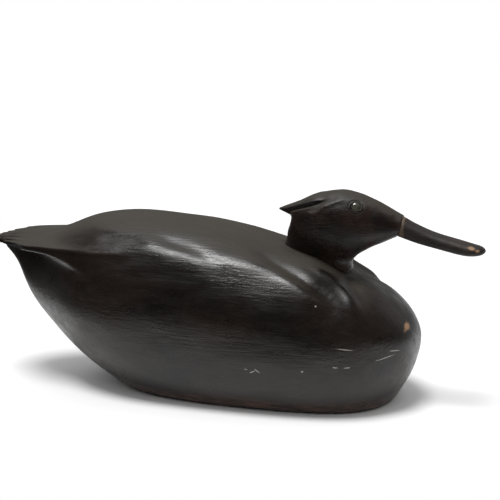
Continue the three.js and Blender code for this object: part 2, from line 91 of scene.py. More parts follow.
# Carving on the back as curves on both flanks: depth (negative stands proud), width, the share
# of the length over which it fades in and out, and its path
CARVINGS = [
    (3.4, 6.5, (0.7, 0.25), [(11, 27, 142), (40, 42, 132), (56, 48, 125), (74, 54, 118),
                             (87, 57, 111), (99, 58, 104), (110, 66, 90)]),
    (2.4, 9.0, (0.35, 0.4), [(102, 4, 116), (111, 20, 110), (120, 33, 103), (129, 44, 95),
                             (137, 54, 82)]),
    (-2.8, 6.0, (0.4, 0.3), [(75, 32, 127), (89, 37, 120), (100, 39, 113), (110, 42, 106),
                             (119, 49, 98), (126, 59, 88)]),
    (1.2, 6.0, (0.35, 0.3), [(-62, 43, 145), (-42, 49, 140), (-22, 53, 136), (-7, 57, 132),
                             (12, 62, 125)]),
    (-1.5, 12.0, (0.15, 0.2), [(-86, 55, 136), (-43, 58, 134), (-16, 60, 130), (6, 58, 130),
                               (32, 57, 125), (50, 57, 122), (77, 62, 111), (99, 63, 100),
                               (113, 66, 89)]),
    (0.9, 6.0, (0.35, 0.35), [(-115, 45, 139), (-100, 47, 141), (-86, 48, 142), (-72, 51, 140),
                              (-59, 57, 136)]),
]

# Head in side view, from above, and its crest and neck
CROWN_LINE = [
    (50, 160), (61.5, 171), (79, 180.5), (88, 183.3), (101, 184.6), (110, 183.4), (123, 179.4),
    (136.5, 173.4), (145, 169), (153, 164.6), (167, 157.5), (184, 150),
]
JAW_LINE = [
    (50, 150), (70, 137), (95, 131), (108, 131), (115.5, 133), (124, 135.8), (137, 141.2),
    (144, 144.7), (149, 146.9), (156, 149), (184, 154),
]
HEAD_HALF_WIDTH = [
    (46, 0), (52, 11), (62, 18), (78, 22.5), (95, 23.5), (112, 21.5), (130, 16), (145, 12),
    (153, 10.8), (167, 10.5), (184, 10.5),
]
HEAD_BACK = 57.0
CREST_TOP = [(43, 165.8), (50, 168.8), (61.5, 173.6), (79, 181), (95, 184)]
CREST_UNDER = [(43, 164.8), (50, 162.4), (57, 160), (70, 160), (95, 165)]
CREST_HALF_WIDTH = [(43, 1.8), (50, 7), (60, 13), (75, 17.5), (95, 18)]
CREST_TIP = 43.4
CREST_END = 84.0
NECK_BACK = [(95, 48), (125, 49.2), (139, 50.8), (150, 55), (158, 61), (168, 67), (185, 78)]
NECK_FRONT = [(95, 111), (118, 109), (126, 109.5), (134, 113), (145, 112), (160, 110), (185, 105)]
NECK_HALF_WIDTH = [(95, 18), (125, 17.5), (140, 18), (155, 20), (185, 18)]
NECK_TOP = 168.0
SEAT_HEIGHT = 135.0
SEAT_SLOPE = 0.37
NECK_FLARE = 1.6
HEAD_CARVINGS = [
    (2.6, 1.7, (0.3, 0.25), [(46, 7, 161), (62, 14, 169.5), (71, 17, 172.2), (80, 17.8, 175.4),
                             (92, 14, 179.5)]),
    (-0.9, 2.6, (0.3, 0.25), [(60, 17.5, 162.5), (74, 21.3, 165.7), (80, 22.6, 167), (86, 20.7, 172),
                              (91, 19.3, 174.6), (97, 17.2, 177.2), (110, 13.5, 179.5)]),
]

# The joint between head and bill, bowed in side view, and the bill
JOINT_X = 152.6
JOINT_Z = 162.0
JOINT_BOW = 0.02
BILL_SIDE = [
    (138, 171), (152.6, 163.8), (160, 160), (170, 155.5), (184, 150.6), (202, 146.2), (214, 143.2),
    (221, 141.4), (224, 138.2), (221, 135.2), (211, 133.8), (202, 134.6), (184, 138.2), (165, 142.4),
    (150, 147), (138, 150.5),
]
BILL_PLAN = [
    (138, 11.6), (152.6, 10.6), (170, 10.3), (190, 10.8), (205, 11.4), (213, 10.8), (219, 8.4), (222.6, 5),
    (224, 0), (222.6, -5),
]
BILL_FULLNESS = 2.6

# Glass eyes
EYE_PLACE = (114.4, 16.5, 173.7)
EYE_RADIUS = 4.1
EYE_DOME = 1.7

# How finely the surfaces are meshed
TAIL_STATIONS = 95
BACK_STATIONS = 115
SHOULDER_STATIONS = 100
BREAST_STATIONS = 80
RUMP_X = -148.0
SHOULDER_X = 45.0
BREAST_X = 130.0
TOP_STEPS = 76
UNDER_STEPS = 40
DENSE_STEPS = 420
TURN_LENGTH = 10.0
HEAD_SEAT_TOP = 146.0
HEAD_LEVELS = (60, 100, 90)
HEAD_STEPS = 150
CROWN_START = 172.0

# Camera, read off the photograph
CAMERA_YAW = math.radians(16)
CAMERA_RISE = math.radians(14.5)
CAMERA_DISTANCE = 1.4
CAMERA_AIM = Vector((0, 0, 0.09))
CAMERA_LENS = 112.64
CAMERA_SHIFT = (0.0358, 0.0762)

# Stage: how far the floor reaches to each side in metres
FLOOR_REACH = (-0.31, 1.2, -0.26, 2.5)


# Curves and rounded joins

def spline(points):
    """Natural cubic through points, the first number of each rising."""
    x, y = np.array(points, float).T
    count = len(x)
    gap = np.diff(x)
    matrix = np.eye(count)
    right = np.zeros(count)
    for i in range(1, count - 1):
        matrix[i, i - 1:i + 2] = gap[i - 1], 2 * (gap[i - 1] + gap[i]), gap[i]
        right[i] = 6 * ((y[i + 1] - y[i]) / gap[i] - (y[i] - y[i - 1]) / gap[i - 1])
    bend = np.linalg.solve(matrix, right)

    def value(at):
        at = np.clip(at, x[0], x[-1])
        i = np.clip(np.searchsorted(x, at) - 1, 0, count - 2)
        a = (x[i + 1] - at) / gap[i]
        b = (at - x[i]) / gap[i]
        curve = (a**3 - a) * bend[i] + (b**3 - b) * bend[i + 1]
        return a * y[i] + b * y[i + 1] + curve * gap[i] ** 2 / 6

    return value


def outline_branches(points, samples=3000):
    """The two sides of an outline up to its foremost point, as functions of x, and that point."""
    p = np.array(points, float)
    along = np.concatenate([[0], np.cumsum(np.sqrt(np.hypot(*np.diff(p, axis=0).T)))])
    at = np.linspace(0, along[-1], samples)
    x = spline(np.c_[along, p[:, 0]])(at)
    z = spline(np.c_[along, p[:, 1]])(at)
    front = int(np.argmax(x))

    def branch(xs, zs):
        return lambda q: np.interp(q, np.maximum.accumulate(xs), zs)

    first = branch(x[:front + 1], z[:front + 1])
    second = branch(x[front:][::-1], z[front:][::-1])
    return first, second, (x[front], z[front])


def smooth_step(start, end, value):
    t = np.clip((value - start) / (end - start), 0, 1)
    return t * t * (3 - 2 * t)


def blend(a, b, part):
    return a + (b - a) * part


def soft_min(a, b, softness):
    part = np.clip(0.5 + 0.5 * (b - a) / softness, 0, 1)
    return blend(b, a, part) - softness * part * (1 - part)


def soft_max(a, b, softness):
    return -soft_min(-a, -b, softness)


def section_distance(across, up, half_width, middle, high, low, fullness_above, fullness_below):
    """About how far a point lies outside a rounded cross-section with a widest line."""
    half = np.maximum(half_width, 0.05)
    above = up > middle
    height = np.maximum(np.where(above, high - middle, middle - low), 0.05)
    power = np.where(above, fullness_above, fullness_below)
    total = np.abs(across / half) ** power + np.abs((up - middle) / height) ** power
    return (total ** (1 / power) - 1) * np.minimum(half, height)


# The forms, as distances outside them

back_height, belly_height, breast_point = outline_branches(BACK_LINE + BELLY_LINE[1:])
plan_side = outline_branches(PLAN_LINE)[0]
waist_height = spline(WAIST_LINE)
tail_height = spline(TAIL_HEIGHT)
tail_thickness = spline(TAIL_THICKNESS)
tail_half_width = spline(TAIL_HALF_WIDTH)
feather_spread = spline(FEATHER_SPREAD)


def body_half_width(x):
    return np.maximum(plan_side(x), 0)


def tail_distance(x, y, z):
    width = tail_half_width(x)
    edge = np.minimum(np.abs(y) / width, 1.2)
    half_thickness = tail_thickness(x) / 2 * (1 - 0.45 * edge**2)
    off_plane = np.abs(z - tail_height(x) + TAIL_CROWN * y * y) - half_thickness
    return soft_max(off_plane, np.abs(y) - width, 3)


def body_distance(x, y, z):
    hull = section_distance(y, z, body_half_width(x), waist_height(x), back_height(x),
                            belly_height(x), SIDE_FULLNESS, BELLY_FULLNESS)
    softness = np.clip(0.6 * (x + HALF_LENGTH), 1, TAIL_SOFTNESS)
    with_tail = soft_min(hull, tail_distance(x, y, z), softness)
    return soft_max(np.where(x < -60, with_tail, hull), -z, CHINE_SOFTNESS)


crown_height = spline(CROWN_LINE)
jaw_height = spline(JAW_LINE)
head_half_width = spline(HEAD_HALF_WIDTH)
crest_top = spline(CREST_TOP)
crest_under = spline(CREST_UNDER)
crest_half_width = spline(CREST_HALF_WIDTH)
neck_back = spline(NECK_BACK)
neck_front = spline(NECK_FRONT)
neck_half_width = spline(NECK_HALF_WIDTH)


def joint_x(z):
    return JOINT_X - JOINT_BOW * (z - JOINT_Z) ** 2


def neck_distance(x, y, z):
    above_seat = np.maximum(z - SEAT_HEIGHT + SEAT_SLOPE * (x - 50), 0)
    flare = NECK_FLARE * np.exp(-above_seat / 4)
    half = neck_half_width(z) + flare
    middle = (neck_back(z) + neck_front(z)) / 2
    length = (neck_front(z) - neck_back(z)) / 2 + flare
    column = section_distance(x - middle, y, length, 0 * z, half, -half, 2.2, 2.2)
    return soft_max(column, z - NECK_TOP, 12)


def crest_distance(x, y, z):
    high = crest_top(x)
    low = crest_under(x)
    wedge = section_distance(y, z, crest_half_width(x), (high + low) / 2, high, low, 2.4, 2.4)
    return soft_max(np.maximum(wedge, CREST_TIP - x), x - CREST_END, 8)


def head_distance(x, y, z):
    high = crown_height(x)
    low = jaw_height(x)
    skull = section_distance(y, z, head_half_width(x), blend(low, high, 0.45), high, low, 2.3, 2.3)
    skull = soft_max(skull, HEAD_BACK - x, 4)
    skull = soft_min(skull, neck_distance(x, y, z), 11)
    skull = soft_min(skull, crest_distance(x, y, z), 3)
    return soft_max(skull, x - joint_x(z), 0.8)


# Relief

def outward(distance, points):
    """Unit normals of a form at points."""
    x, y, z = points.T
    step = 0.25
    slope = np.stack([
        distance(x + step, y, z) - distance(x - step, y, z),
        distance(x, y + step, z) - distance(x, y - step, z),
        distance(x, y, z + step) - distance(x, y, z - step),
    ], axis=1)
    return slope / np.maximum(np.linalg.norm(slope, axis=1, keepdims=True), 1e-9)


def cut_along(points, path, width, fades, pieces=24):
    """1 on a smooth curve on either flank, fading to 0 beside it and towards its ends."""
    p = np.array(path, float)
    along = np.concatenate([[0], np.cumsum(np.linalg.norm(np.diff(p, axis=0), axis=1))])
    at = np.linspace(0, along[-1], pieces + 1)
    run = np.stack([spline(np.c_[along, p[:, k]])(at) for k in range(3)], axis=1)
    folded = points * [1, 0, 1] + np.abs(points) * [0, 1, 0]
    nearest = np.full(len(points), 1e9)
    place = np.zeros(len(points))
    for i in range(pieces):
        step = run[i + 1] - run[i]
        offset = folded - run[i]
        part = np.clip(offset @ step / (step @ step), 0, 1)
        beside = np.linalg.norm(offset - part[:, None] * step, axis=1)
        place = np.where(beside < nearest, (i + part) / pieces, place)
        nearest = np.minimum(nearest, beside)
    taper = smooth_step(0, fades[0], place) * smooth_step(1, 1 - fades[1], place)
    return taper * np.exp(-(nearest / width) ** 2)


def carving_depth(points, carvings):
    total = np.zeros(len(points))
    for depth, width, fades, path in carvings:
        total += depth * cut_along(points, path, width, fades)
    return total


def ripple(points, length, seed, stretch=1.0):
    """Smooth uneven waves of about that length, longer by stretch along x."""
    chance = np.random.default_rng(seed)
    total = np.zeros(len(points))
    for _ in range(10):
        heading = chance.normal(size=3)
        heading *= 2 * math.pi / (length * np.linalg.norm(heading))
        heading[0] /= stretch
        total += np.sin(points @ heading + chance.uniform(0, 2 * math.pi))
    return total / math.sqrt(10)


def between_feathers(x, y):
    """0 on the middle of a tail feather, 1 between two feathers."""
    place = np.clip(y / feather_spread(x), -1, 1)
    return 0.5 - 0.5 * np.cos(FEATHERS * math.pi * place)


def station_x(station, y):
    return station + TAIL_CURVE * (1 - smooth_step(-HALF_LENGTH, -130, station)) * y * y


def relieved_body(points, on_top):
    """The smooth body's points with the carving cut into them, and its depth at each."""
    x, y, z = points.T
    clear_of_neck = smooth_step(1, 1.35, np.hypot((x - 79) / 32, y / 20))
    carved = clear_of_neck * carving_depth(points, CARVINGS)
    depth = carved + 0.3 * ripple(points, 34, 5, 1.6) * smooth_step(20, 60, z)
    result = points - outward(body_distance, points) * (depth * (z > 8))[:, None]
    gap = between_feathers(x, y) ** 1.5
    fan = 1 - smooth_step(-205, FEATHER_ROOT, x)
    result[:, 2] -= FEATHER_DEPTH * gap * fan * on_top
    at_edge = 1 - smooth_step(0, 10, x - station_x(-HALF_LENGTH, y))
    result[:, 0] += FEATHER_NOTCH * gap * at_edge
    return result, carved + FEATHER_DEPTH * gap * fan * on_top


# Meshing

def cast_out(point_at, distance_at, shape, reach=1.9):
    """Follows lines out from the inside of a form until they leave it."""
    inside = np.zeros(shape)
    outside = np.full(shape, reach)
    for _ in range(26):
        middle = (inside + outside) / 2
        within = distance_at(*point_at(middle)) < 0
        inside = np.where(within, middle, inside)
        outside = np.where(within, outside, middle)
    return np.stack(point_at((inside + outside) / 2), axis=-1)


def spread(run, steps):
    """Points along a dense run, both ends kept, closer together where it turns."""
    step = np.diff(run, axis=0)
    length = np.linalg.norm(step, axis=1)
    heading = step / np.maximum(length, 1e-9)[:, None]
    turn = np.arccos(np.clip(np.sum(heading[1:] * heading[:-1], axis=1), -1, 1))
    weight = length + TURN_LENGTH * np.append(np.where(length[1:] > 1e-6, turn, 0), 0)
    along = np.concatenate([[0], np.cumsum(weight)])
    at = np.linspace(0, along[-1], steps + 1)
    return np.stack([np.interp(at, along, run[:, k]) for k in range(3)], axis=1)


def full_ring(half):
    """A ring from its left half, whose ends lie on the middle line."""
    half = half.copy()
    half[[0, -1], 1] = 0
    return np.concatenate([half, half[-2:0:-1] * [1, -1, 1]])


def body_stations():
    round_part = np.sin(np.linspace(0, 1, BREAST_STATIONS + 1)[1:] * math.pi / 2)
    return np.concatenate([
        np.linspace(-HALF_LENGTH, RUMP_X, TAIL_STATIONS, endpoint=False),
        np.linspace(RUMP_X, SHOULDER_X, BACK_STATIONS, endpoint=False),
        np.linspace(SHOULDER_X, BREAST_X, SHOULDER_STATIONS + 1),
        blend(BREAST_X, breast_point[0] - 0.01, round_part),
    ])


def body_rings():
    stations = body_stations()
    s = stations[:, None]
    angle = np.linspace(math.pi / 2, -math.pi / 2, DENSE_STEPS)[None, :]
    at_tail = 1 - smooth_step(-182, -115, s)
    back = back_height(np.maximum(s, -214))
    belly = np.maximum(belly_height(np.maximum(s, -214)), 0)
    centre = blend(0.55 * back + 0.45 * belly, tail_height(s), at_tail)
    wide = np.maximum(body_half_width(s), np.where(s < -60, tail_half_width(s), 0)) + 2
    tall = np.maximum(0.6, at_tail) * (back - belly) + 6

    def point_at(reach):
        y = reach * wide * np.cos(angle)
        return station_x(s, y), y, centre + reach * tall * np.sin(angle)

    dense = cast_out(point_at, body_distance, (len(stations), DENSE_STEPS))
    rings = []
    for station, run in zip(stations, dense):
        rim_x = station_x(station, tail_half_width(station))
        rim = tail_height(rim_x) - TAIL_CROWN * tail_half_width(rim_x) ** 2
        side_height = blend(rim, waist_height(station), smooth_step(RIM_FADES, RIM_ENDS, station))
        side = 4 + int(np.argmax(run[4:, 2] < side_height))
        top = spread(run[:side + 1], TOP_STEPS)
        under = spread(run[side:], UNDER_STEPS)
        rings.append(full_ring(np.concatenate([top, under[1:]])))
    return np.array(rings)


def skin(name, rings, first_cap, last_cap, hollow=()):
    """A mesh object over equal rings, which keeps how deep each of their points is carved.
    A cap is a point, a list of inner rings or None."""
    count = rings.shape[1]
    points = [rings.reshape(-1, 3)]
    faces = []
    total = rings.shape[0] * count

    def band(start, following, flip=False):
        for j in range(count):
            k = (j + 1) % count
            face = [start + j, start + k, following + k, following + j]
            faces.append(face[::-1] if flip else face)

    for i in range(rings.shape[0] - 1):
        band(i * count, (i + 1) * count)
    for start, cap, flip in ((0, first_cap, True), (total - count, last_cap, False)):
        if cap is None:
            around = list(range(start, start + count))
            faces.append(around[::-1] if flip else around)
            continue
        inner = cap[:-1] if len(cap) > 1 else []
        for ring in inner:
            points.append(ring)
            band(start, total, flip)
            start = total
            total += count
        points.append(cap[-1][:1])
        for j in range(count):
            face = [start + j, start + (j + 1) % count, total]
            faces.append(face[::-1] if flip else face)
        total += 1
    mesh = bpy.data.meshes.new(name)
    mesh.from_pydata((np.concatenate(points) * MM).tolist(), [], faces)
    mesh.validate()
    mesh.update()
    mesh.shade_smooth()
    kept = mesh.attributes.new("hollow", "FLOAT", "POINT")
    for item, value in zip(kept.data, hollow):
        item.value = value
    piece = bpy.data.objects.new(name, mesh)
    bpy.context.collection.objects.link(piece)
    return piece


def make_body():
    rings = body_rings()
    count = rings.shape[1]
    on_top = np.zeros(count)
    on_top[:TOP_STEPS + 1] = 1
    on_top[-TOP_STEPS:] = 1
    flat, hollow = relieved_body(rings.reshape(-1, 3), np.tile(on_top, len(rings)))
    nose = np.array([[breast_point[0], 0, breast_point[1]]])
    return skin("carved_body", flat.reshape(rings.shape), None, [nose], hollow)


def seat_height(x, y):
    """Height of the body's back at a place, read off a table made once."""
    return grid_height(np.clip(x, 20, 166), np.abs(y))


def make_height_grid():
    xs = np.linspace(20, 166, 147)
    ys = np.linspace(0, 60, 61)
    x, y = np.meshgrid(xs, ys, indexing="ij")
    low = np.full(x.shape, 40.0)
    high = np.full(x.shape, 175.0)
    for _ in range(26):
        middle = (low + high) / 2
        within = body_distance(x, y, middle) < 0
        low = np.where(within, middle, low)
        high = np.where(within, high, middle)

    def value(at_x, at_y):
        u = np.clip(at_x - xs[0], 0, len(xs) - 1.001)
        v = np.clip(at_y, 0, len(ys) - 1.001)
        i = u.astype(int)
        j = v.astype(int)
        near = blend(low[i, j], low[i, j + 1], v - j)
        far = blend(low[i + 1, j], low[i + 1, j + 1], v - j)
        return blend(near, far, u - i)

    return value


grid_height = make_height_grid()


def head_rings():
    """Level slices, those of the neck bent down onto the back. part runs from 0 at the seat."""
    neck_count, cheek_count, crown_count = HEAD_LEVELS
    crown_top = float(np.max(crown_height(np.linspace(90, 112, 200))))
    neck_part = np.linspace(0, 1, neck_count, endpoint=False)
    cheek = np.linspace(HEAD_SEAT_TOP, CROWN_START, cheek_count, endpoint=False)
    crown = blend(CROWN_START, crown_top - 0.02, np.sin(np.linspace(0, 1, crown_count) * math.pi / 2))
    level = np.concatenate([np.full(neck_count, HEAD_SEAT_TOP), cheek, crown])[:, None]
    part = np.concatenate([neck_part, np.ones(cheek_count + crown_count)])[:, None]
    angle = np.linspace(math.pi, 0, DENSE_STEPS)[None, :]
    middle = 80 + 21 * smooth_step(140, 172, level)

    def point_at(reach):
        x = middle + reach * 60 * np.cos(angle)
        y = reach * 30 * np.sin(angle)
        seat = seat_height(x, y) + JOINT_GAP
        return x, y, blend(seat, level, part)

    dense = cast_out(point_at, head_distance, (len(level), DENSE_STEPS), 1.6)
    rings = np.array([full_ring(spread(run, HEAD_STEPS)) for run in dense])
    return rings, crown_top


def eye_frame(side):
    """Centre of an eye and the direction it faces."""
    place = np.array([EYE_PLACE[0], side * EYE_PLACE[1], EYE_PLACE[2]])
    return place, outward(head_distance, place[None, :])[0]


def socket_depth(points):
    """A rim round each eye with a groove outside it and a hollow inside it."""
    total = np.zeros(len(points))
    for side in (-1, 1):
        place, facing = eye_frame(side)
        offset = points - place
        along = offset @ facing
        radius = np.linalg.norm(offset - along[:, None] * facing, axis=1)
        near = np.abs(along) < 6
        rim = -0.45 * np.exp(-((radius - 4.9) / 0.5) ** 2)
        groove = 0.35 * np.exp(-((radius - 6.1) / 0.6) ** 2)
        hollow = 1.6 * (1 - smooth_step(3.9, 4.4, radius))
        total += near * (rim + groove + hollow)
    return total


def inner_rings(ring, centre, settle, steps=6):
    """Rings that shrink towards a centre, each set onto a surface, and the centre itself."""
    shrunk = [settle(centre + (ring - centre) * part) for part in np.linspace(1, 0, steps + 1)[1:]]
    return shrunk[:-1] + [shrunk[-1][:1]]


def make_head():
    rings, crown_top = head_rings()
    flat = rings.reshape(-1, 3)
    depth = carving_depth(flat, HEAD_CARVINGS) + socket_depth(flat)
    depth += 0.12 * ripple(flat, 14, 8)
    above_seat = flat[:, 2] - seat_height(flat[:, 0], flat[:, 1])
    depth *= smooth_step(0.5, 3, above_seat)
    flat = flat - outward(head_distance, flat) * depth[:, None]
    rings = flat.reshape(rings.shape)

    def settle(points):
        x, y, _ = points.T
        return np.stack([x, y, seat_height(x, y) + JOINT_GAP], axis=1)

    bottom = inner_rings(rings[0], np.array([80.0, 0, 125]), settle)
    return skin("carved_head", rings, bottom, [np.array([[101.0, 0, crown_top]])], depth)


bill_ridge, bill_under, bill_front = outline_branches(BILL_SIDE)
bill_plan_side = outline_branches(BILL_PLAN)[0]


def make_bill():
    part = np.sin(np.linspace(0, 1, 180)[:-1] * math.pi / 2)[:, None]
    angle = np.linspace(math.pi / 2, -math.pi / 2, 90)[None, :]
    power = 2 / BILL_FULLNESS
    rise = np.sign(np.sin(angle)) * np.abs(np.sin(angle)) ** power
    straight = blend(JOINT_X, HALF_LENGTH, part) + 0 * rise
    near_joint = 1 - smooth_step(0, 0.75, part)
    x = straight
    for _ in range(5):
        low = bill_under(x)
        high = bill_ridge(x)
        middle = blend(low, high, 0.45)
        z = middle + rise * np.where(rise > 0, high - middle, middle - low)
        x = straight + (joint_x(z) + JOINT_GAP - JOINT_X) * near_joint
    y = np.maximum(bill_plan_side(x), 0) * np.abs(np.cos(angle)) ** power
    halves = np.stack(np.broadcast_arrays(x, y, z), axis=-1)
    rings = np.array([full_ring(spread(run, 70)) for run in halves])

    def settle(points):
        return np.stack([joint_x(points[:, 2]) + JOINT_GAP, points[:, 1], points[:, 2]], axis=1)

    root = inner_rings(rings[0], np.array([152.0, 0, 155]), settle)
    tip = np.array([[HALF_LENGTH, 0, bill_front[1]]])
    return skin("carved_bill", rings, root, [tip])


def make_eye(name, side):
    """A glass dome with a rounded edge, on a short plug."""
    place, facing = eye_frame(side)
    turn = Vector((0, 0, 1)).rotation_difference(Vector(facing)).to_matrix()
    angle = np.linspace(0, 2 * math.pi, 64, endpoint=False)
    profile = [(EYE_RADIUS - 0.2, -1.3)]
    profile += [(EYE_RADIUS * math.cos(t), EYE_DOME * math.sin(t)) for t in np.linspace(0, 1.5, 24)]
    rings = np.array([[(r * math.cos(t), r * math.sin(t), h) for t in angle] for r, h in profile])
    tip = np.array([[0, 0, EYE_DOME]])
    matrix = np.array(turn)
    rings = rings @ matrix.T + place
    return skin(name, rings, None, [tip @ matrix.T + place])


# Materials

def add(tree, kind, inputs=None, **settings):
    """A shader node with its settings, and its inputs as values or links."""
    made = tree.nodes.new(kind)
    for key, value in settings.items():
        setattr(made, key, value)
    for key, value in (inputs or {}).items():
        if isinstance(value, bpy.types.NodeSocket):
            tree.links.new(value, made.inputs[key])
        else:
            made.inputs[key].default_value = value
    return made


def new_material(name):
    material = bpy.data.materials.new(name)
    material.use_nodes = True
    tree = material.node_tree
    shader = tree.nodes["Principled BSDF"]
    place = add(tree, "ShaderNodeTexCoord").outputs["Object"]
    scaled = add(tree, "ShaderNodeVectorMath", {0: place, 1: (1000, 1000, 1000)}, operation="MULTIPLY")
    return material, tree, shader, scaled.outputs[0]


def math_node(tree, operation, a, b=0.0, clamp=False):
    return add(tree, "ShaderNodeMath", {0: a, 1: b}, operation=operation, use_clamp=clamp).outputs[0]


def noise(tree, place, length, detail=3.0, stretch=(1, 1, 1), rough=0.5, warp=0.0):
    """Noise between 0 and 1 with patches of about that length in millimetres."""
    sized = tuple(1 / (length * s) for s in stretch)
    spot = add(tree, "ShaderNodeMapping", {"Vector": place, "Scale": sized}).outputs[0]
    made = add(tree, "ShaderNodeTexNoise", {"Vector": spot, "Scale": 1.0, "Detail": detail,
                                            "Roughness": rough, "Distortion": warp})
    return made.outputs["Fac"]


def ramp(tree, value, low, high, to_low=0.0, to_high=1.0):
    """Maps low to high onto to_low to to_high, smoothly and without passing them."""
    made = add(tree, "ShaderNodeMapRange", {"Value": value, "From Min": low, "From Max": high,
                                            "To Min": to_low, "To Max": to_high})
    made.interpolation_type = "SMOOTHSTEP"
    return made.outputs[0]


def mix(tree, part, a, b):
    made = add(tree, "ShaderNodeMix", data_type="RGBA")
    for key, value in ((0, part), (6, a), (7, b)):
        if isinstance(value, bpy.types.NodeSocket):
            tree.links.new(value, made.inputs[key])
        else:
            made.inputs[key].default_value = value if key == 0 else (*value, 1)
    return made.outputs[2]


def marks(tree, place, spots, edge=0.35):
    """1 inside flattened balls at spots: centre, half sizes, turn about y in degrees."""
    total = None
    for centre, size, turn in spots:
        spot = add(tree, "ShaderNodeMapping", {"Vector": place, "Location": centre, "Scale": size,
                                               "Rotation": (0, math.radians(turn), 0)},
                   vector_type="TEXTURE").outputs[0]
        reach = add(tree, "ShaderNodeVectorMath", {0: spot}, operation="LENGTH").outputs["Value"]
        inside = ramp(tree, reach, 1 + edge, 1 - edge)
        total = inside if total is None else math_node(tree, "MAXIMUM", total, inside)
    return total


def jittered(tree, place, length, amount):
    """The place moved about by noise, to make a ragged edge."""
    spot = add(tree, "ShaderNodeMapping", {"Vector": place, "Scale": (1 / length,) * 3}).outputs[0]
    made = add(tree, "ShaderNodeTexNoise", {"Vector": spot, "Scale": 1.0, "Detail": 3.0})
    centred = add(tree, "ShaderNodeVectorMath", {0: made.outputs["Color"], 1: (0.5, 0.5, 0.5)},
                  operation="SUBTRACT").outputs[0]
    pushed = add(tree, "ShaderNodeVectorMath", {0: centred, 1: (amount,) * 3},
                 operation="MULTIPLY").outputs[0]
    return add(tree, "ShaderNodeVectorMath", {0: place, 1: pushed}, operation="ADD").outputs[0]


def bump(tree, height, distance, strength=1.0, below=None):
    """Bump from a height of 0 to 1, which stands for distance in millimetres."""
    inputs = {"Height": height, "Distance": distance * MM, "Strength": strength}
    if below is not None:
        inputs["Normal"] = below
    return add(tree, "ShaderNodeBump", inputs).outputs[0]


def upward(tree):
    """1 where the surface faces up, 0 where it stands upright."""
    facing = add(tree, "ShaderNodeNewGeometry").outputs["Normal"]
    return add(tree, "ShaderNodeSeparateXYZ", {0: facing}).outputs["Z"]


DARK_PAINT = (0.0060, 0.0044, 0.0038)
BROWN_PAINT = (0.0150, 0.0092, 0.0068)
OLIVE_DUST = (0.038, 0.032, 0.023)
HEAD_BROWN = (0.022, 0.0105, 0.0072)
HEAD_RUBBED = (0.042, 0.021, 0.013)
BILL_PAINT = (0.011, 0.0078, 0.0066)
BILL_BROWN = (0.026, 0.018, 0.0145)
BILL_RUBBED = (0.050, 0.037, 0.031)
RED_WOOD = (0.105, 0.052, 0.036)
BARE_WOOD = (0.30, 0.175, 0.095)
PALE_SCRATCH = (0.36, 0.34, 0.31)

BODY_SCRATCHES = [
    ((111.3, -75.5, 47.6), (2.0, 4, 0.5), 10), ((120.8, -71.7, 47.2), (2.4, 4, 0.5), -5),
    ((92.4, -67.4, 97.9), (0.8, 3, 0.8), 0), ((84.3, -81, 43.4), (0.9, 3, 0.7), 0),
    ((41.5, -83.5, 40.4), (2.6, 3, 0.5), -25), ((46, -83.5, 41.5), (2.6, 3, 0.5), 35),
    ((36, -83.5, 42.4), (1.4, 3, 0.4), 0), ((119, -72.9, 63.2), (7, 5, 0.4), 10),
    ((149, -50.9, 52.2), (8, 12, 0.4), -12), ((156, -43, 57), (4, 8, 0.5), 8),
]
BODY_BARE = [((161.9, -19.9, 72.9), (2.2, 6, 3.2), 0), ((160.5, -25, 69.5), (1.4, 4, 2.6), 20)]
TAIL_TIP_BARE = [((-222, 0, 124), (4, 16, 2.2), 0), ((-214, -22, 124), (4, 10, 2), 0),
                 ((-214, 22, 124), (4, 10, 2), 0)]


